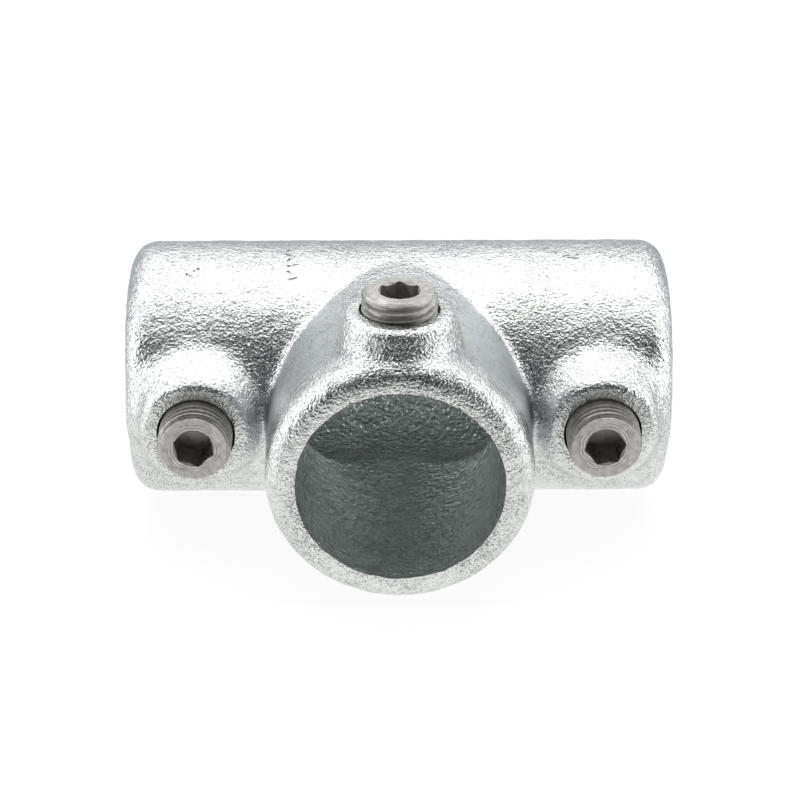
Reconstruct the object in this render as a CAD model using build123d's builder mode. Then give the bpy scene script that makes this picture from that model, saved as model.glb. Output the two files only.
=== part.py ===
"""Long tube clamp tee for 33.7 mm tube.

A malleable iron casting joins a run socket and a branch socket at right angles.
Three socket set screws, each in a tapped boss, clamp the tubes.

Frame: millimetres, origin where the two bore axes cross, +X along the run,
-Y out of the branch mouth, +Z up through the branch's set screw.
"""

from build123d import *

import os
from math import radians, tan

# Sockets
tube_diameter = 33.7
bore_play = 1.3  # how much wider each bore is than its tube
run_wall = 5.7
branch_wall = 5.4
run_length = 97.0
branch_reach = 46.5  # run axis to branch mouth

# Edges of the casting
run_end_round = 4.5
branch_mouth_round = 4.2
lip_chamfer = 0.5
junction_blend = 1.0  # less where the bosses crowd the branch

# Tapped bosses
screw_setback = 13.1  # branch mouth to screw axis
boss_crowding = 0.45  # how much of a run boss's spare room is on the branch's side of it
boss_diameter = 19.6
boss_stand = 4.1  # boss face beyond the socket's outside
boss_draft = 10.0  # degrees
boss_rim_chamfer = 0.6
run_boss_root = 3.0
branch_boss_root = 2.5

# Set screws with G 1/4 thread
thread_diameter = 13.157
thread_clearance = 0.05  # radial
thread_countersink = 0.4  # radial
screw_length = 12.7
screw_point_chamfer = 1.2
screw_head_chamfer = 0.7
hex_across_flats = 6.35
hex_depth = 6.0
hex_countersink = 0.5  # radial, beyond the hexagon's flats
cup_diameter = 8.0
cup_depth = 1.8
cup_slope = 60.0  # degrees from the screw's axis
run_screw_stand = 5.0  # screw face beyond its boss face
branch_screw_stand = 3.2
left_hex_turn = 41.0  # degrees
right_hex_turn = 9.0
branch_hex_turn = 30.0

bore_radius = (tube_diameter + bore_play) / 2
run_radius = bore_radius + run_wall
branch_radius = bore_radius + branch_wall
run_boss_face = run_radius + boss_stand
branch_boss_face = branch_radius + boss_stand
branch_screw_y = branch_reach - screw_setback
boss_radius = boss_diameter / 2
run_shoulder = run_length / 2 - branch_radius  # the run's length on each side of the branch
boss_to_branch = boss_crowding * (run_shoulder - boss_diameter)
run_screw_x = branch_radius + boss_to_branch + boss_radius
junction_fillet = min(junction_blend, 0.4 * boss_to_branch)
boss_depth = boss_stand + run_wall  # face to foot, which lies inside the socket's wall
boss_side_length = boss_depth - boss_rim_chamfer
boss_foot_radius = boss_radius + boss_side_length * tan(radians(boss_draft))
thread_radius = thread_diameter / 2
thread_hole_radius = thread_radius + thread_clearance

# Boss faces, each plane's normal pointing out of its tapped hole
left_seat = Plane((-run_screw_x, -run_boss_face, 0), x_dir=(1, 0, 0), z_dir=(0, -1, 0))
right_seat = Plane((run_screw_x, -run_boss_face, 0), x_dir=(1, 0, 0), z_dir=(0, -1, 0))
branch_seat = Plane((0, -branch_screw_y, branch_boss_face))

# A boss: a drafted stub turned about its hole, its face on XY and its rim chamfered
with BuildPart() as boss:
    with BuildSketch(Plane.XZ):
        with BuildLine():
            Polyline(
                (0, 0),
                (boss_radius - boss_rim_chamfer, 0),
                (boss_radius, -boss_rim_chamfer),
                (boss_foot_radius, -boss_depth),
                (0, -boss_depth),
                close=True,
            )
        make_face()
    revolve(axis=Axis.Z)

with BuildPart() as tee_body:
    # The run barrel is made over-long, so that the roots of its bosses can run past its ends
    with BuildSketch(Plane.YZ):
        Circle(run_radius)
    extrude(amount=run_length / 2 + boss_diameter, both=True)
    with Locations(left_seat, right_seat):
        add(boss.part)
    boss_sides = tee_body.faces().filter_by(GeomType.CONE)
    fillet(boss_sides.edges().filter_by(GeomType.BSPLINE), run_boss_root)

    # Then the ends are cut square and rounded over barrel and bosses together
    with BuildSketch(Plane.YZ):
        Rectangle(3 * run_radius, 3 * run_radius)
    extrude(amount=run_length / 2, both=True, mode=Mode.INTERSECT)
    run_ends = tee_body.faces().filter_by(Axis.X).sort_by(Axis.X)
    fillet(run_ends[0].edges() + run_ends[-1].edges(), run_end_round)

    # The branch barrel, its blend into the run and its rolled mouth
    with BuildSketch(Plane.XZ):
        Circle(branch_radius)
    extrude(amount=branch_reach)
    branch_side = tee_body.faces().filter_by(GeomType.CYLINDER).sort_by(Axis.Y)[0]
    fillet(branch_side.edges().filter_by(GeomType.BSPLINE), junction_fillet)
    fillet(tee_body.edges().filter_by(GeomType.CIRCLE).group_by(Axis.Y)[0], branch_mouth_round)

    # The branch boss
    with Locations(branch_seat):
        add(boss.part)
    cones = tee_body.faces().filter_by(GeomType.CONE)
    branch_boss_sides = cones.filter_by(lambda face: face.center().Z > bore_radius)
    fillet(branch_boss_sides.edges().filter_by(GeomType.BSPLINE), branch_boss_root)

    # The two bores, which meet in the middle, and their lips. The run bore's seam faces the branch.
    with BuildSketch(Plane.YZ.rotated((0, 0, 180))):
        Circle(bore_radius)
    extrude(amount=run_length / 2, both=True, mode=Mode.SUBTRACT)
    with BuildSketch(Plane.XZ):
        Circle(bore_radius)
    extrude(amount=branch_reach, mode=Mode.SUBTRACT)
    lips = tee_body.edges().filter_by(GeomType.CIRCLE)
    lips = lips.filter_by(lambda edge: abs(edge.radius - bore_radius) < lip_chamfer)
    chamfer(lips, lip_chamfer)

    # The tapped holes, at the thread's major diameter
    with Locations(left_seat, right_seat, branch_seat):
        CounterSinkHole(
            thread_hole_radius,
            thread_hole_radius + thread_countersink,
            depth=branch_boss_face,
            counter_sink_angle=90,
        )


def set_screw(head, hex_turn):
    """A socket set screw with its head on the given plane and its shank behind it."""
    along = Axis(head.origin, head.z_dir)
    with BuildPart() as screw:
        with BuildSketch(head):
            Circle(thread_radius)
        extrude(amount=-screw_length)
        chamfer(screw.edges().group_by(along)[-1], screw_head_chamfer)
        chamfer(screw.edges().group_by(along)[0], screw_point_chamfer)

        # Cup point
        with BuildSketch(head.offset(-screw_length)):
            Circle(cup_diameter / 2)
        extrude(amount=cup_depth, taper=cup_slope, mode=Mode.SUBTRACT)

        # Hexagon socket with a countersunk mouth
        with BuildSketch(head):
            RegularPolygon(hex_across_flats / 2, 6, major_radius=False, rotation=hex_turn)
        extrude(amount=-hex_depth, mode=Mode.SUBTRACT)
        with BuildSketch(head):
            Circle(hex_across_flats / 2 + hex_countersink)
        extrude(amount=-hex_countersink * 2, taper=45, mode=Mode.SUBTRACT)
    return screw


run_screw_left = set_screw(left_seat.offset(run_screw_stand), left_hex_turn)
run_screw_right = set_screw(right_seat.offset(run_screw_stand), right_hex_turn)
branch_screw = set_screw(branch_seat.offset(branch_screw_stand), branch_hex_turn)

os.makedirs("parts", exist_ok=True)
for piece, name in (
    (tee_body, "tee_body"),
    (run_screw_left, "run_screw_left"),
    (run_screw_right, "run_screw_right"),
    (branch_screw, "branch_screw"),
):
    piece.part.label = name
    export_step(piece.part, f"parts/{name}.step")
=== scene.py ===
"""Tube clamp tee: a hot-dip galvanised casting and its three socket set screws, on a studio table."""

from collections import namedtuple
from math import cos, pi, radians, sin, tau

import bpy
from mathutils import Matrix, Vector


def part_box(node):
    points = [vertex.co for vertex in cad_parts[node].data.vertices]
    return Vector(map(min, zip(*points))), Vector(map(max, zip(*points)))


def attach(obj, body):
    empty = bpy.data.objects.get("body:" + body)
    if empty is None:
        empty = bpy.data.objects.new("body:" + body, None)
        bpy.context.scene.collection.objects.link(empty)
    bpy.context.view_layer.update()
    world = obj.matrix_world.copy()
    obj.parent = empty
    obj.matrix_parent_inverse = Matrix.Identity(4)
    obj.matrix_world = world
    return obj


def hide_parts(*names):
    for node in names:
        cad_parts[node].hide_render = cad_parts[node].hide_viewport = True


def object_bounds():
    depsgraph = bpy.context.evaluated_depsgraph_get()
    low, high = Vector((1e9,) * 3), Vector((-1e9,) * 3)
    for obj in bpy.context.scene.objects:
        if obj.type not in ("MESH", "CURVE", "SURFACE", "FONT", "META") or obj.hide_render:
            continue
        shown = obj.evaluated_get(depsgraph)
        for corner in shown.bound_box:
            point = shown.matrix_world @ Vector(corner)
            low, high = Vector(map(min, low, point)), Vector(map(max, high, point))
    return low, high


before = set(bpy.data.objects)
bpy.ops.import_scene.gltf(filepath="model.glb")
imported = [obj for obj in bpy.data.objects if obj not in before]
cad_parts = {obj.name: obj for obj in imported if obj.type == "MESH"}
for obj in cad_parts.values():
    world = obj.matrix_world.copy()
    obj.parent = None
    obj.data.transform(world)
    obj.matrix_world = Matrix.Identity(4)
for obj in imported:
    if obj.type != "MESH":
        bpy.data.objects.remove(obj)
cad_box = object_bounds()

MM = 0.001


# --- Camera -------------------------------------------------------------------------------------
# A short telephoto on a stand a forearm's length from the fitting. It looks down on the mouth of
# the branch, square to the run.

camera_distance = 410 * MM
camera_azimuth = radians(-0.4)
camera_elevation = radians(27.1)
camera_target = Vector((0.29, 0.0, -7.25)) * MM

camera_data = bpy.data.cameras.new("camera")
camera_data.sensor_width = 36
camera_data.lens = 99
camera_data.clip_start = 0.01
camera = bpy.data.objects.new("camera", camera_data)
bpy.context.scene.collection.objects.link(camera)
towards_camera = Vector((
    sin(camera_azimuth) * cos(camera_elevation),
    -cos(camera_azimuth) * cos(camera_elevation),
    sin(camera_elevation),
))
camera.location = camera_target + camera_distance * towards_camera
camera.rotation_euler = towards_camera.to_track_quat("Z", "Y").to_euler()
bpy.context.scene.camera = camera


# --- Table and light ----------------------------------------------------------------------------
# A white table in a grey studio, with one large soft box overhead, a strip at each side and the
# dark half of the room behind the camera. The fitting mirrors all of these; its shadow is faint.

bpy.context.scene.view_settings.view_transform = "Standard"

table_size = 4.0  # metres
table_gap = 0.02 * MM  # between the table and the fitting's lowest point
table_white = "#FFFFFF"
table_paint = "#E8E9E6"
table_glow = 0.82  # the share of the table's white that shadows leave alone
table_mirror_glow = 0.97  # the same where the zinc mirrors the table
table_glow_strength = 1.08
rear_start, rear_end = -20 * MM, 120 * MM  # where painted shade greys the table behind the fitting, except to the camera
# Painted shade: the grey that the table's paint and glow turn to behind the fitting, for all rays but the
# camera's.
rear_shade_paint = "#BEC2C6"
rear_shade_glow = "#C2C6CB"
front_end, front_start = -260 * MM, -170 * MM  # where painted shade darkens the table in front of the fitting, except to the camera
front_shade_glow = 0.06  # what the painted shade leaves of the glow beyond


def linear(hex_colour):
    """An sRGB hex colour as the linear RGBA that shaders take."""
    channels = [int(hex_colour[i:i + 2], 16) / 255 for i in (1, 3, 5)]
    return [c / 12.92 if c <= 0.04045 else ((c + 0.055) / 1.055) ** 2.4 for c in channels] + [1.0]


def add_node(tree, kind, settings=(), values=(), links=()):
    """Adds a node to a material's tree with its settings, its socket values and its links."""
    made = tree.nodes.new(kind)
    for name, value in dict(settings).items():
        setattr(made, name, value)
    for socket, value in dict(values).items():
        made.inputs[socket].default_value = value
    for socket, source in dict(links).items():
        tree.links.new(source, made.inputs[socket])
    return made


def soft_box(name, place, size, power):
    """An area lamp that faces the fitting."""
    lamp = bpy.data.lights.new(name, "AREA")
    lamp.shape = "RECTANGLE"
    lamp.size, lamp.size_y = size
    lamp.energy = power
    box = bpy.data.objects.new(name, lamp)
    box.location = place
    box.rotation_euler = Vector(place).to_track_quat("Z", "Y").to_euler()
    bpy.context.scene.collection.objects.link(box)


# Places and sizes in metres, power in watts.
soft_box("box_overhead", place=(0.0, 0.25, 0.62), size=(1.3, 0.8), power=4.3)
soft_box("box_left", place=(-0.62, -0.08, 0.16), size=(0.4, 0.5), power=1.5)
soft_box("box_right", place=(0.62, -0.08, 0.16), size=(0.4, 0.5), power=1.5)

bpy.ops.mesh.primitive_plane_add(size=table_size, location=(0, 0, cad_box[0].z - table_gap))
table = bpy.context.object
table.name = "table"

# Matt white paint under its own even glow, which keeps it white right up to the fitting and lets
# only a faint shadow show. What the zinc mirrors of it carries painted shade, grey to the rear and
# dark past the front, and that draws the soft bands and the dark arcs on the casting.
paint = bpy.data.materials.new("matt_white_table")
paint.use_nodes = True
tree = paint.node_tree
tree.nodes.clear()
of_colour = {"data_type": "RGBA"}
smoothly = {"interpolation_type": "SMOOTHSTEP"}
ray = add_node(tree, "ShaderNodeLightPath")
mirror_share = add_node(tree, "ShaderNodeMath", {"operation": "MULTIPLY"}, {1: table_mirror_glow}, {
    0: ray.outputs["Is Glossy Ray"]})
glow_share = add_node(tree, "ShaderNodeMath", {"operation": "MULTIPLY_ADD"}, {1: table_glow}, {
    0: ray.outputs["Is Camera Ray"], 2: mirror_share.outputs[0]})
where = add_node(tree, "ShaderNodeTexCoord")
along = add_node(tree, "ShaderNodeSeparateXYZ", {}, {}, {0: where.outputs["Object"]})
# Painted shade: behind the fitting the paint and the glow turn grey for every ray but the camera's.
rear = add_node(tree, "ShaderNodeMapRange", smoothly, {"From Min": rear_start, "From Max": rear_end}, {
    "Value": along.outputs["Y"]})
unseen_rear_shade = add_node(tree, "ShaderNodeMath", {"operation": "SUBTRACT", "use_clamp": True}, {}, {
    0: rear.outputs[0], 1: ray.outputs["Is Camera Ray"]})
paint_colour = add_node(tree, "ShaderNodeMix", of_colour, {6: linear(table_paint), 7: linear(rear_shade_paint)}, {
    0: unseen_rear_shade.outputs[0]})
matt = add_node(tree, "ShaderNodeBsdfDiffuse", {}, {}, {"Color": paint_colour.outputs[2]})
glow_colour = add_node(tree, "ShaderNodeMix", of_colour, {6: linear(table_white), 7: linear(rear_shade_glow)}, {
    0: unseen_rear_shade.outputs[0]})
# Painted shade: in front of the fitting the glow falls almost dark for every ray but the camera's.
front = add_node(tree, "ShaderNodeMapRange", smoothly, {
    "From Min": front_end, "From Max": front_start, "To Min": front_shade_glow}, {"Value": along.outputs["Y"]})
front_or_seen = add_node(tree, "ShaderNodeMath", {"operation": "MAXIMUM"}, {}, {
    0: front.outputs[0], 1: ray.outputs["Is Camera Ray"]})
glow_strength = add_node(tree, "ShaderNodeMath", {"operation": "MULTIPLY"}, {1: table_glow_strength}, {
    0: front_or_seen.outputs[0]})
glow = add_node(tree, "ShaderNodeEmission", {}, {}, {
    "Color": glow_colour.outputs[2], "Strength": glow_strength.outputs[0]})
surface = add_node(tree, "ShaderNodeMixShader", {}, {}, {
    0: glow_share.outputs[0], 1: matt.outputs[0], 2: glow.outputs[0]})
add_node(tree, "ShaderNodeOutputMaterial", {}, {}, {"Surface": surface.outputs[0]})
table.data.materials.append(paint)

# The room: grey walls that pale with height, a white ceiling, and a dark half behind the camera.
# The camera itself sees plain white, like the table.
wall_low, wall_high = "#C0C4C9", "#F2F3F4"
wall_turn = radians(24), radians(34)  # the climb over which the wall's low colour turns to its high one
ceiling_white = "#FFFFFF"
ceiling_turn = radians(48), radians(74)
dark_half = "#505256"
dark_half_turn = radians(78), radians(34)  # angles from the way to the camera

room = bpy.data.worlds.new("room")
bpy.context.scene.world = room
room.use_nodes = True
tree = room.node_tree
tree.nodes.clear()
way = add_node(tree, "ShaderNodeTexCoord").outputs["Generated"]
height = add_node(tree, "ShaderNodeSeparateXYZ", {}, {}, {0: way})
wall_climb = add_node(tree, "ShaderNodeMapRange", smoothly, {
    "From Min": sin(wall_turn[0]), "From Max": sin(wall_turn[1])}, {"Value": height.outputs["Z"]})
wall = add_node(tree, "ShaderNodeMix", of_colour, {6: linear(wall_low), 7: linear(wall_high)}, {
    0: wall_climb.outputs[0]})
camera_side = add_node(tree, "ShaderNodeVectorMath", {"operation": "DOT_PRODUCT"}, {1: towards_camera}, {
    0: way})
darkness = add_node(tree, "ShaderNodeMapRange", smoothly, {
    "From Min": cos(dark_half_turn[0]), "From Max": cos(dark_half_turn[1])}, {
    "Value": camera_side.outputs["Value"]})
walls = add_node(tree, "ShaderNodeMix", of_colour, {7: linear(dark_half)}, {
    0: darkness.outputs[0], 6: wall.outputs[2]})
ceiling_climb = add_node(tree, "ShaderNodeMapRange", smoothly, {
    "From Min": sin(ceiling_turn[0]), "From Max": sin(ceiling_turn[1])}, {"Value": height.outputs["Z"]})
walls_and_ceiling = add_node(tree, "ShaderNodeMix", of_colour, {7: linear(ceiling_white)}, {
    0: ceiling_climb.outputs[0], 6: walls.outputs[2]})
ray = add_node(tree, "ShaderNodeLightPath")
studio = add_node(tree, "ShaderNodeBackground", {}, {"Strength": 1.0}, {
    "Color": walls_and_ceiling.outputs[2]})
backdrop = add_node(tree, "ShaderNodeBackground", {}, {"Color": linear(table_white), "Strength": 1.0})
seen = add_node(tree, "ShaderNodeMixShader", {}, {}, {
    0: ray.outputs["Is Camera Ray"], 1: studio.outputs[0], 2: backdrop.outputs[0]})
add_node(tree, "ShaderNodeOutputWorld", {}, {}, {"Surface": seen.outputs[0]})


# --- Casting ------------------------------------------------------------------------------------
# The tee is one malleable iron casting, poured in green sand round a sand core that makes its
# bores, then hot-dip galvanised and tapped. Skin and core are each modelled as one lumpy form.
# The core is cut out of the skin, and after it the three holes and a few cold folds.

skin_pitch = 0.62 * MM
core_pitch = 0.78 * MM
bore_radius = 17.5 * MM
run_radius = 23.2 * MM
branch_radius = 22.9 * MM
boss_radius = 9.8 * MM
hole_radius = 6.5 * MM
hole_mouth_radius = 6.85 * MM
face_sink = 0.12 * MM  # how far the rough boss faces lie below the solids' flat ones

Seat = namedtuple("Seat", "face outward head")  # a boss face, the way out of its hole, a screw's head
seats = {}
for node, outward, stand in (
    ("run_screw_left", Vector((0, -1, 0)), 5.0 * MM),
    ("run_screw_right", Vector((0, -1, 0)), 5.0 * MM),
    ("branch_screw", Vector((0, 0, 1)), 3.2 * MM),
):
    low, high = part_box(node)
    head = (low + high) / 2 + outward * abs((high - low).dot(outward)) / 2
    seats[node] = Seat(head - outward * stand, outward, head)
run_seats = seats["run_screw_left"], seats["run_screw_right"]
branch_seat = seats["branch_screw"]

run_low, run_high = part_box("tee_body")
run_ends = Vector((run_low.x, 0, 0)), Vector((run_high.x, 0, 0))
middle = Vector((0, 0, 0))  # where the two barrels' axes cross
mouth = Vector((0, run_low.y, 0))


def pick(piece):
    """Selects one piece alone and makes it the active one."""
    bpy.ops.object.select_all(action="DESELECT")
    piece.select_set(True)
    bpy.context.view_layer.objects.active = piece


def merge_close(piece, distance, clear_loose=False):
    """Merges a piece's vertices that lie close together, and can clear what is then left loose."""
    pick(piece)
    bpy.ops.object.mode_set(mode="EDIT")
    bpy.ops.mesh.select_all(action="SELECT")
    bpy.ops.mesh.remove_doubles(threshold=distance)
    if clear_loose:
        bpy.ops.mesh.select_all(action="SELECT")
        bpy.ops.mesh.delete_loose(use_verts=True, use_edges=True, use_faces=True)
    bpy.ops.object.mode_set(mode="OBJECT")


def finish_modifier(target, name, kind, **settings):
    """Adds a modifier with its settings and applies it."""
    modifier = target.modifiers.new(name, kind)
    for key, value in settings.items():
        setattr(modifier, key, value)
    pick(target)
    bpy.ops.object.modifier_apply(modifier=name)


def bar(radius, start, end, vertices=96, end_radius=None):
    """A cylinder, or a cone where the end radius differs, from one point to another."""
    along = end - start
    bpy.ops.mesh.primitive_cone_add(
        vertices=vertices, radius1=radius, radius2=radius if end_radius is None else end_radius,
        depth=along.length, location=(start + end) / 2, rotation=along.to_track_quat("Z", "Y").to_euler())
    made = bpy.context.object
    bpy.ops.object.transform_apply(location=True, rotation=True, scale=True)
    return made


def joined(pieces):
    """Joins objects into the first of them."""
    bpy.ops.object.select_all(action="DESELECT")
    for piece in pieces:
        piece.select_set(True)
    bpy.context.view_layer.objects.active = pieces[0]
    bpy.ops.object.join()
    return pieces[0]


def cut(target, cutter, name, **settings):
    """Cuts one object out of another and removes it."""
    finish_modifier(target, name, "BOOLEAN", object=cutter, operation="DIFFERENCE", **settings)
    bpy.data.objects.remove(cutter)


def clouds(name, size, depth=2):
    """A cloud texture with lumps of the given size."""
    texture = bpy.data.textures.new(name, "CLOUDS")
    texture.noise_scale = size
    texture.noise_depth = depth
    return texture


def below_face(seat, point):
    """A point's depth below a boss face and its distance from the boss's axis."""
    offset = point - seat.face
    depth = -offset.dot(seat.outward)
    return depth, (offset + seat.outward * depth).length


# The solid's bores and holes are plugged, so that the skin closes over them.
inset = 0.02 * MM  # keeps the plugs' ends just inside the solid
plug_overlap = 0.7 * MM  # plugs reach past the lips' chamfers
hole_plug_depth = 9.9 * MM
casting = bpy.data.objects.new("casting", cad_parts["tee_body"].data.copy())
bpy.context.scene.collection.objects.link(casting)
merge_close(casting, 0.002 * MM)
along_run = Vector((inset, 0, 0))
fillers = [
    bar(bore_radius + plug_overlap, run_ends[0] + along_run, run_ends[1] - along_run),
    bar(bore_radius + plug_overlap, middle, mouth + Vector((0, inset, 0))),
]
for seat in seats.values():
    fillers.append(bar(hole_mouth_radius + 2 * plug_overlap,
                       seat.face - seat.outward * hole_plug_depth, seat.face - seat.outward * inset))

# Each run boss widens into a mound that spreads furthest along the run.
flare_radius = 12.2 * MM
flare_depth = 9.5 * MM
flare_top = 0.4 * MM  # below the boss face
mound_half_height = 13.7 * MM
mound_half_length = 16.2 * MM
mound_limit = 47.3 * MM  # the mounds stop short of the run's ends
for seat in run_seats:
    flare = bar(flare_radius, seat.face - seat.outward * flare_depth,
                seat.face - seat.outward * flare_top, end_radius=boss_radius)
    for vertex in flare.data.vertices:
        if vertex.co.y > seat.face.y + flare_depth / 2:
            vertex.co.z *= mound_half_height / flare_radius
            reach = seat.face.x + (vertex.co.x - seat.face.x) * mound_half_length / flare_radius
            vertex.co.x = max(-mound_limit, min(mound_limit, reach))
    fillers.append(flare)

# The branch boss runs out along the barrel's crown, fore and aft, and hardly to the sides.
crown_flare_depth = 6 * MM
crown_flare_top = 1.8 * MM
crown_flare_top_radius = 9.3 * MM
crown_half_length = 12.6 * MM
crown_squeeze = 0.66
crown_limit = mouth.y + 1.2 * MM
flare = bar(boss_radius, branch_seat.face - branch_seat.outward * crown_flare_depth,
            branch_seat.face - branch_seat.outward * crown_flare_top, end_radius=crown_flare_top_radius)
for vertex in flare.data.vertices:
    if vertex.co.z < branch_seat.face.z - (crown_flare_depth + crown_flare_top) / 2:
        ahead = (vertex.co.y - branch_seat.face.y) * crown_half_length / boss_radius
        vertex.co.y = max(crown_limit, branch_seat.face.y + ahead)
        vertex.co.x *= crown_squeeze
fillers.append(flare)

joined([casting] + fillers)
finish_modifier(casting, "skin", "REMESH", mode="VOXEL", voxel_size=skin_pitch, use_smooth_shade=True)
finish_modifier(casting, "soften", "SMOOTH", factor=0.5, iterations=5)

# The branch barrel meets the run in a crisp corner, except under the bosses. The solid's fillet
# is drawn back onto the branch, fully where it is clear of the run's skin and of the bosses.
run_boss_across = 35.4 * MM  # from the middle of the run to each boss
branch_boss_ahead = 33.4 * MM  # from the run's axis to the branch boss
run_boss_clear = 14.2 * MM
branch_boss_clear = 13.5 * MM
boss_fade = 1.5 * MM
corner_width = 4 * MM
corner_start, corner_full, corner_end = 0.3 * MM, 0.9 * MM, 5 * MM  # off the run's skin
corner_pull = 0.85
for vertex in casting.data.vertices:
    point = vertex.co
    off_branch = point.xz.length - branch_radius
    off_run = point.yz.length - run_radius
    off_bosses = min(
        Vector((abs(point.x) - run_boss_across, point.z)).length - run_boss_clear,
        Vector((point.x, point.y + branch_boss_ahead)).length - branch_boss_clear,
    )
    in_corner = 0 < off_branch < corner_width and corner_start < off_run < corner_end
    if point.y < 0 and in_corner and off_bosses > 0:
        share = min(1.0, (off_run - corner_start) / (corner_full - corner_start))
        share *= min(1.0, off_bosses / boss_fade)
        pull = 1 - corner_pull * share * off_branch / point.xz.length
        vertex.co.x *= pull
        vertex.co.z *= pull

# Each run boss runs into the barrel through a wide soft root.
root_radius = 17 * MM
root_depth = 12 * MM
root_inner_fade, root_outer_fade = 0.8 * MM, 2.5 * MM
roots = casting.vertex_groups.new(name="boss_roots")
for seat in run_seats:
    for vertex in casting.data.vertices:
        depth, radius = below_face(seat, vertex.co)
        if boss_radius < radius < root_radius and -inset < depth < root_depth:
            inner = min(1.0, (radius - boss_radius) / root_inner_fade)
            outer = min(1.0, (root_radius - radius) / root_outer_fade)
            roots.add([vertex.index], min(inner, outer), "REPLACE")
finish_modifier(casting, "fill_roots", "SMOOTH", factor=0.5, iterations=40, vertex_group="boss_roots")

# The bosses' rims are as cast, rounder than machined ones.
rim_start, rim_end, rim_fade = 8.3 * MM, 12.5 * MM, 0.8 * MM
run_rim_depth, branch_rim_depth = 2.2 * MM, 3.6 * MM
rims = casting.vertex_groups.new(name="boss_rims")
for seat in seats.values():
    rim_depth = branch_rim_depth if seat is branch_seat else run_rim_depth
    for vertex in casting.data.vertices:
        depth, radius = below_face(seat, vertex.co)
        if rim_start < radius < rim_end and -MM < depth < rim_depth:
            rims.add([vertex.index], min(1.0, (radius - rim_start) / rim_fade), "REPLACE")
finish_modifier(casting, "round_rims", "SMOOTH", factor=0.5, iterations=14, vertex_group="boss_rims")

# The sand leaves lumps and a finer grit, both sunk below the solid's surface. The branch barrel's
# flanks are smoother, because the pattern draws along them.
flank_band, flank_band_fade = 1.3 * MM, 0.8 * MM  # off the barrel's radius, either way
flank_front, flank_front_fade = -40 * MM, 3 * MM  # behind the mouth's rough ring
flank_run_gap, flank_run_fade = 0.4 * MM, 1 * MM  # off the run's skin
flank_crown, flank_crown_fade = 23 * MM, 5 * MM  # below the barrel's crown
flank_calm = 0.75  # the share of the lumps and the grit that the flanks lack
lump_size, lump_depth = 3.4 * MM, 0.24 * MM
grit_size, grit_depth = 1.2 * MM, 0.1 * MM
skin_level = 0.95  # the share of the lumps' depth that lies below the surface


def flank_share(point):
    """How far a point lies on the branch barrel's smooth flanks, from 0 to 1."""
    on_branch = (flank_band - abs(point.xz.length - branch_radius)) / flank_band_fade
    behind_mouth = (point.y - flank_front) / flank_front_fade
    clear_of_run = (point.yz.length - run_radius - flank_run_gap) / flank_run_fade
    below_crown = (flank_crown - point.z) / flank_crown_fade
    return max(0.0, min(1.0, on_branch, behind_mouth, clear_of_run, below_crown))


sandy = casting.vertex_groups.new(name="sandy_skin")
for vertex in casting.data.vertices:
    sandy.add([vertex.index], 1 - flank_calm * flank_share(vertex.co), "REPLACE")
finish_modifier(casting, "lumps", "DISPLACE", texture=clouds("sand_lumps", lump_size),
                vertex_group="sandy_skin", texture_coords="LOCAL", strength=lump_depth, mid_level=skin_level)
finish_modifier(casting, "grit", "DISPLACE", texture=clouds("sand_grit", grit_size, 1),
                vertex_group="sandy_skin", texture_coords="LOCAL", strength=grit_depth, mid_level=skin_level)
casting.data.materials.clear()
casting.data.materials.append(bpy.data.materials.new("hot_dip_galvanised_zinc"))

# The core is one form as well, so that the two bores meet in a cast edge. Its lumps are smaller
# than the skin's, and deeper.
core_lump_size, core_lump_depth = 2.4 * MM, 0.42 * MM
core_level = 0.2  # most of the lumps' depth goes into the wall
core_overrun = 2 * MM  # past the ends of the barrels
past_run = Vector((core_overrun, 0, 0))
core = joined([
    bar(bore_radius, run_ends[0] - past_run, run_ends[1] + past_run),
    bar(bore_radius, middle, mouth - Vector((0, core_overrun, 0))),
])
finish_modifier(core, "core", "REMESH", mode="VOXEL", voxel_size=core_pitch, use_smooth_shade=True)
finish_modifier(core, "core_soften", "SMOOTH", factor=0.5, iterations=1)
finish_modifier(core, "core_lumps", "DISPLACE", texture=clouds("core_lumps", core_lump_size),
                texture_coords="LOCAL", strength=core_lump_depth, mid_level=core_level)
core.data.materials.append(bpy.data.materials.new("dull_zinc_in_bore"))
keeping_finishes = {"solver": "MANIFOLD", "material_mode": "TRANSFER"}
cut(casting, core, "bores", **keeping_finishes)

# Each hole is a hair wider than its screw's thread, and countersunk: the cone is as wide as the
# hole's mouth at the rough boss face, and opens by one part for each two of height.
drill_depth, drill_overrun = 12 * MM, 2 * MM
lip = hole_mouth_radius - hole_radius
# Painted shade: the holes' cut walls are dark for the shadowed gap round each screw.
tapped = bpy.data.materials.new("tapped_iron_and_gap_shade")
for seat in seats.values():
    drill = bar(hole_radius, seat.face - seat.outward * drill_depth, seat.face + seat.outward * drill_overrun)
    drill.data.materials.append(tapped)
    cut(casting, drill, "drill", **keeping_finishes)
    floor = seat.face - seat.outward * face_sink
    cone = bar(hole_radius - lip, floor - seat.outward * 4 * lip, floor + seat.outward * 2 * lip,
               end_radius=hole_mouth_radius + lip)
    cone.data.materials.append(tapped)
    cut(casting, cone, "countersink", **keeping_finishes)

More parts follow.
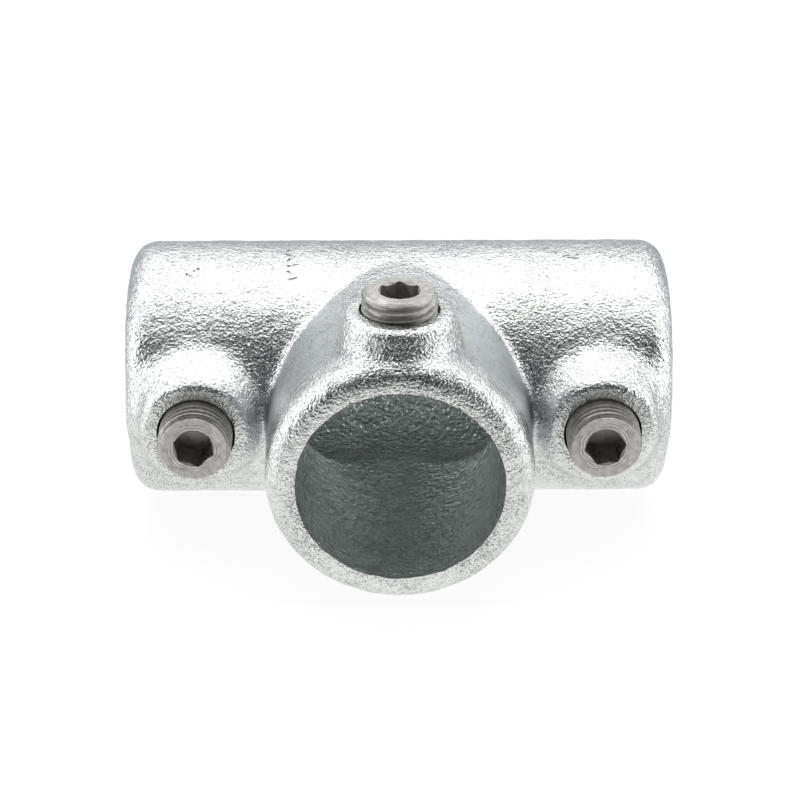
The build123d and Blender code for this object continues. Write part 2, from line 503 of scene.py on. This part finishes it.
# Cold folds are short creases, left where two streams of iron met on the run's upper side.
fold_groove_radius = 0.28 * MM
fold_radius = run_radius - 0.26 * MM  # from the run's axis, so that the grooves just break the skin
folds = []
for across, climb, length, turn in (  # mm along the run, degrees up it, mm, degrees off the run's line
    (-19.9, 90, 1.1, 60), (-19.3, 85, 2.0, -25), (-19.6, 81, 1.3, 70), (-18.9, 77, 2.1, 15),
    (-19.4, 72, 1.2, -50), (-18.8, 68, 1.7, 20), (30.0, 84, 1.6, 30), (31.2, 82, 2.2, -10),
    (32.0, 85, 1.1, 50), (-37.0, 70, 1.8, -35), (-35.9, 74, 1.3, 40),
):
    climb, turn = radians(climb), radians(turn)
    place = Vector((across * MM, -cos(climb) * fold_radius, sin(climb) * fold_radius))
    half = Vector((cos(turn), sin(turn) * sin(climb), sin(turn) * cos(climb))) * length * MM / 2
    folds.append(bar(fold_groove_radius, place - half, place + half, vertices=8))
cut(casting, joined(folds), "folds", **keeping_finishes)
merge_close(casting, 0.001 * MM, clear_loose=True)
bpy.ops.object.shade_smooth_by_angle(angle=radians(40))

# This share also says where the flanks' painted shade goes.
smooth_and_shaded_flank = casting.data.attributes.new("smooth_and_shaded_flank", "FLOAT", "POINT")
for vertex in casting.data.vertices:
    smooth_and_shaded_flank.data[vertex.index].value = flank_share(vertex.co)

# How large the parts of the finish are: clusters of specks, clouds of tone, smears of dross, soft
# ripples, crystal grain and the dark specks themselves.
cluster_size = 40 / 3 * MM
patch_size = 100 / 17 * MM
dross_size = 50 / 31 * MM
ripple_size = 10 / 12 * MM
grain_size = 10 / 22 * MM
dark_speck_size = 10 / 34 * MM
# Painted shade: the flanks are coloured a darker, bluish grey for the dimmer light between the barrels.
flank_shade_grey = "#BEC2C6"
dross_grey = "#8C8F8D"
dark_speck_grey = "#4C4E4D"
flank_roughness = 0.28  # what the flanks' duller skin adds
flank_bump_loss = 0.6


def cast_finish(name, low, high, roughness, grain_depth, ripple_depth, specks):
    """Cast metal: cloudy tones, crystal grain over soft ripples, smears of dross, dark specks.

    The noise lies mostly between 0.3 and 0.7, and the thresholds are set within that.
    """
    material = bpy.data.materials[name]
    material.use_nodes = True
    tree = material.node_tree
    tree.nodes.clear()
    at_point = {"Vector": add_node(tree, "ShaderNodeTexCoord").outputs["Object"]}
    flank = add_node(tree, "ShaderNodeAttribute", {"attribute_name": "smooth_and_shaded_flank"})

    # Clouds of a lower and a higher tone, and the flanks' even, darker grey, which is painted shade.
    patches = add_node(tree, "ShaderNodeTexNoise", {}, {
        "Scale": 1 / patch_size, "Detail": 3, "Roughness": 0.6}, at_point)
    tone = add_node(tree, "ShaderNodeMix", of_colour, {6: linear(low), 7: linear(high)}, {
        0: patches.outputs[0]})
    flank_shaded = add_node(tree, "ShaderNodeMix", of_colour, {7: linear(flank_shade_grey)}, {
        0: flank.outputs["Fac"], 6: tone.outputs[2]})

    # Thin smears of dross, from the top of the zinc bath.
    dross = add_node(tree, "ShaderNodeTexNoise", {}, {
        "Scale": 1 / dross_size, "Detail": 4, "Roughness": 0.7}, at_point)
    smear = add_node(tree, "ShaderNodeMapRange", {}, {"From Min": 0.5, "From Max": 0.72, "To Max": 0.55}, {
        "Value": dross.outputs[0]})
    drossy = add_node(tree, "ShaderNodeMix", of_colour, {7: linear(dross_grey)}, {
        0: smear.outputs[0], 6: flank_shaded.outputs[2]})

    # Dark specks, thick in the clusters and rare between them.
    dark_speck_noise = add_node(tree, "ShaderNodeTexNoise", {}, {
        "Scale": 1 / dark_speck_size, "Detail": 1, "Roughness": 0.7}, at_point)
    clusters = add_node(tree, "ShaderNodeTexNoise", {}, {"Scale": 1 / cluster_size, "Detail": 1}, at_point)
    threshold = add_node(tree, "ShaderNodeMapRange", {}, {
        "From Min": 0.35, "From Max": 0.6, "To Min": 0.66, "To Max": 0.53}, {"Value": clusters.outputs[0]})
    excess = add_node(tree, "ShaderNodeMath", {"operation": "SUBTRACT"}, {}, {
        0: dark_speck_noise.outputs[0], 1: threshold.outputs[0]})
    speck = add_node(tree, "ShaderNodeMapRange", {}, {"From Min": 0.0, "From Max": 0.05, "To Max": specks}, {
        "Value": excess.outputs[0]})
    colour = add_node(tree, "ShaderNodeMix", of_colour, {7: linear(dark_speck_grey)}, {
        0: speck.outputs[0], 6: drossy.outputs[2]})

    # The clouds are a little rougher where they are paler, and the flanks are rougher all over.
    dull = add_node(tree, "ShaderNodeMapRange", {}, {
        "From Min": 0.35, "From Max": 0.65, "To Min": roughness[0], "To Max": roughness[1]}, {
        "Value": patches.outputs[0]})
    rough = add_node(tree, "ShaderNodeMath", {"operation": "MULTIPLY_ADD"}, {1: flank_roughness}, {
        0: flank.outputs["Fac"], 2: dull.outputs[0]})

    # Crystal grain over soft ripples, both fainter on the flanks.
    ripple = add_node(tree, "ShaderNodeTexNoise", {}, {"Scale": 1 / ripple_size, "Detail": 1}, at_point)
    grain = add_node(tree, "ShaderNodeTexNoise", {}, {
        "Scale": 1 / grain_size, "Detail": 2, "Roughness": 0.6}, at_point)
    strength = add_node(tree, "ShaderNodeMath", {"operation": "MULTIPLY_ADD"}, {
        1: -flank_bump_loss, 2: 1.0}, {0: flank.outputs["Fac"]})
    ripple_bump = add_node(tree, "ShaderNodeBump", {}, {"Distance": ripple_depth}, {
        "Height": ripple.outputs[0], "Strength": strength.outputs[0]})
    grain_bump = add_node(tree, "ShaderNodeBump", {}, {"Distance": grain_depth}, {
        "Height": grain.outputs[0], "Normal": ripple_bump.outputs[0], "Strength": strength.outputs[0]})

    shader = add_node(tree, "ShaderNodeBsdfPrincipled", {}, {"Metallic": 1.0}, {
        "Base Color": colour.outputs[2], "Roughness": rough.outputs[0], "Normal": grain_bump.outputs[0]})
    add_node(tree, "ShaderNodeOutputMaterial", {}, {}, {"Surface": shader.outputs[0]})


# Hot-dip galvanised zinc over sand-cast iron: a bright mirror broken up by fine crystal grain, so
# that it glitters, with cloudy greys and dark specks.
cast_finish("hot_dip_galvanised_zinc", low="#CED0CF", high="#E8EAE7", roughness=(0.08, 0.18),
            grain_depth=0.24 * MM, ripple_depth=0.16 * MM, specks=0.6)
# The same zinc over the rough skin that the core left: duller, slightly green, in coarse ripples.
cast_finish("dull_zinc_in_bore", low="#C9D0CD", high="#E2E6E4", roughness=(0.24, 0.36),
            grain_depth=0.16 * MM, ripple_depth=0.5 * MM, specks=0.35)
# Bare iron from the drill and the tap, coloured far darker than iron as painted shade for the gap: a dark,
# matt line round each screw.
cast_finish("tapped_iron_and_gap_shade", low="#3A3937", high="#565451", roughness=(0.4, 0.55),
            grain_depth=0.03 * MM, ripple_depth=0.02 * MM, specks=0.6)

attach(casting, "casting")
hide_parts("tee_body")


# --- Set screws ---------------------------------------------------------------------------------
# Three socket set screws of plain alloy steel with a G 1/4 thread, rolled, then faced and broached
# for a quarter-inch hexagon key. Each stands proud of its boss by the threads it has still to go.

thread_pitch = 25.4 / 19 * MM
thread_radius = 12.8 / 2 * MM
thread_depth = 0.856 * MM
groove_gain = 1.35  # with the next value, how flat the roots and the crests are
crest_flat = 0.1
screw_length = 12.7 * MM
head_face_radius = 5.75 * MM
point_face_radius = 5.3 * MM
key_across_flats = 6.35 * MM
key_depth = 6.0 * MM
countersink_radius = 3.5 * MM  # between the hexagon's flats and its corners
cup_radius = 4.0 * MM
thread_steps = 72
profile_cuts = 11
turns_made = 12
weld = 0.0005 * MM  # how near a cut a vertex has to lie to be moved onto it

# The thread is one turn of its profile, repeated along the screw and cut off square at both ends.
bpy.ops.object.select_all(action="DESELECT")
bpy.ops.mesh.primitive_plane_add(size=thread_pitch, rotation=(pi / 2, 0, 0))
screw = bpy.context.object
screw.name = "set_screw"
bpy.ops.object.transform_apply(location=True, rotation=True, scale=True)
bpy.ops.object.mode_set(mode="EDIT")
bpy.ops.mesh.select_all(action="DESELECT")
bpy.ops.object.mode_set(mode="OBJECT")
for vertex in screw.data.vertices:
    vertex.select = vertex.co.x < 0
bpy.ops.object.mode_set(mode="EDIT")
bpy.ops.mesh.delete(type="VERT")
bpy.ops.mesh.select_all(action="SELECT")
bpy.ops.mesh.subdivide(number_cuts=profile_cuts)
bpy.ops.object.mode_set(mode="OBJECT")
for vertex in screw.data.vertices:
    turn = vertex.co.z / thread_pitch  # -0.5 to 0.5, with the groove in the middle
    groove = groove_gain * (0.5 + 0.5 * cos(tau * turn)) - crest_flat
    vertex.co.x = thread_radius - thread_depth * min(1.0, max(0.0, groove))
finish_modifier(screw, "thread", "SCREW", axis="Z", angle=tau, screw_offset=thread_pitch,
                iterations=turns_made, steps=thread_steps, render_steps=thread_steps,
                use_merge_vertices=True, merge_threshold=0.001 * MM)
screw.data.transform(Matrix.Translation((0, 0, -(turns_made - 1) * thread_pitch)))
merge_close(screw, 0.002 * MM)
bpy.ops.object.mode_set(mode="EDIT")
for end, way_out in ((0.0, 1), (-screw_length, -1)):
    bpy.ops.mesh.select_all(action="SELECT")
    bpy.ops.mesh.bisect(plane_co=(0, 0, end), plane_no=(0, 0, way_out), use_fill=True,
                        clear_outer=True, threshold=weld)
bpy.ops.mesh.select_all(action="SELECT")
bpy.ops.mesh.normals_make_consistent(inside=False)
bpy.ops.object.mode_set(mode="OBJECT")

# Both ends are chamfered at 45 degrees, down to their faces' radii.
for vertex in screw.data.vertices:
    radius = vertex.co.xy.length
    limit = min(head_face_radius - vertex.co.z, point_face_radius + vertex.co.z + screw_length)
    if radius > limit:
        vertex.co.xy = vertex.co.xy * (limit / radius)

# The socket with its countersink in the head, and the cup in the point.
bpy.ops.mesh.primitive_cylinder_add(
    vertices=6, radius=key_across_flats / 2 / cos(pi / 6), depth=2 * key_depth)
cut(screw, bpy.context.object, "socket", solver="EXACT")
bpy.ops.mesh.primitive_cone_add(
    vertices=96, radius1=0, radius2=2 * countersink_radius, depth=2 * countersink_radius)
cut(screw, bpy.context.object, "countersink", solver="EXACT")
bpy.ops.mesh.primitive_cone_add(
    vertices=96, radius1=2 * cup_radius, radius2=0, depth=cup_radius, location=(0, 0, -screw_length))
cut(screw, bpy.context.object, "cup", solver="EXACT")
pick(screw)
bpy.ops.object.shade_smooth_by_angle(angle=radians(35))

turning = screw.data.attributes.new("turning_radius", "FLOAT", "POINT")
for vertex in screw.data.vertices:
    turning.data[vertex.index].value = vertex.co.xy.length

# Alloy steel, turned on its faces: a warm grey satin with fine rings round the screw's axis, worn
# by scuffs. Real turning marks are finer than these, which are as coarse as they need to show.
ring_spacing = 10 / 36 * MM
scuff_size = 10 / 9 * MM
scuff_depth = 0.03 * MM
ring_share, scuff_share = 0.55, 0.5
steel_dark, steel_pale = "#8F8C87", "#CDCBC7"
steel_roughness = 0.48

steel = bpy.data.materials.new("turned_alloy_steel")
steel.use_nodes = True
tree = steel.node_tree
tree.nodes.clear()
where = add_node(tree, "ShaderNodeTexCoord")
from_axis = add_node(tree, "ShaderNodeAttribute", {"attribute_name": "turning_radius"})
scuffs = add_node(tree, "ShaderNodeTexNoise", {}, {
    "Scale": 1 / scuff_size, "Detail": 4, "Roughness": 0.6}, {"Vector": where.outputs["Object"]})
rings = add_node(tree, "ShaderNodeTexNoise", {"noise_dimensions": "1D"}, {
    "Scale": 1 / ring_spacing, "Detail": 2}, {"W": from_axis.outputs["Fac"]})
scuffed = add_node(tree, "ShaderNodeMath", {"operation": "MULTIPLY"}, {1: scuff_share}, {
    0: scuffs.outputs[0]})
worn = add_node(tree, "ShaderNodeMath", {"operation": "MULTIPLY_ADD"}, {1: ring_share}, {
    0: rings.outputs[0], 2: scuffed.outputs[0]})
tone = add_node(tree, "ShaderNodeValToRGB", {}, {}, {"Fac": worn.outputs[0]})
for stop, position, colour in ((0, 0.38, steel_dark), (1, 0.66, steel_pale)):
    tone.color_ramp.elements[stop].position = position
    tone.color_ramp.elements[stop].color = linear(colour)
scuff_bump = add_node(tree, "ShaderNodeBump", {}, {"Strength": 0.6, "Distance": scuff_depth}, {
    "Height": worn.outputs[0]})
shader = add_node(tree, "ShaderNodeBsdfPrincipled", {}, {"Metallic": 1.0, "Roughness": steel_roughness}, {
    "Base Color": tone.outputs[0], "Normal": scuff_bump.outputs[0]})
add_node(tree, "ShaderNodeOutputMaterial", {}, {}, {"Surface": shader.outputs[0]})
screw.data.materials.clear()
screw.data.materials.append(steel)

for node, body, key_turn in (  # degrees that each screw's hexagon is turned
    ("run_screw_left", "left_screw", 41.0),
    ("run_screw_right", "right_screw", 9.0),
    ("branch_screw", "branch_set_screw", 0.0),
):
    seat = seats[node]
    placed = bpy.data.objects.new(node.replace("_screw", "_set_screw"), screw.data.copy())
    bpy.context.scene.collection.objects.link(placed)
    facing = seat.outward.to_track_quat("Z", "X").to_matrix().to_4x4()
    turned = Matrix.Rotation(radians(key_turn), 4, "Z")
    placed.data.transform(Matrix.Translation(seat.head) @ facing @ turned)
    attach(placed, body)
    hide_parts(node)
bpy.data.objects.remove(screw)
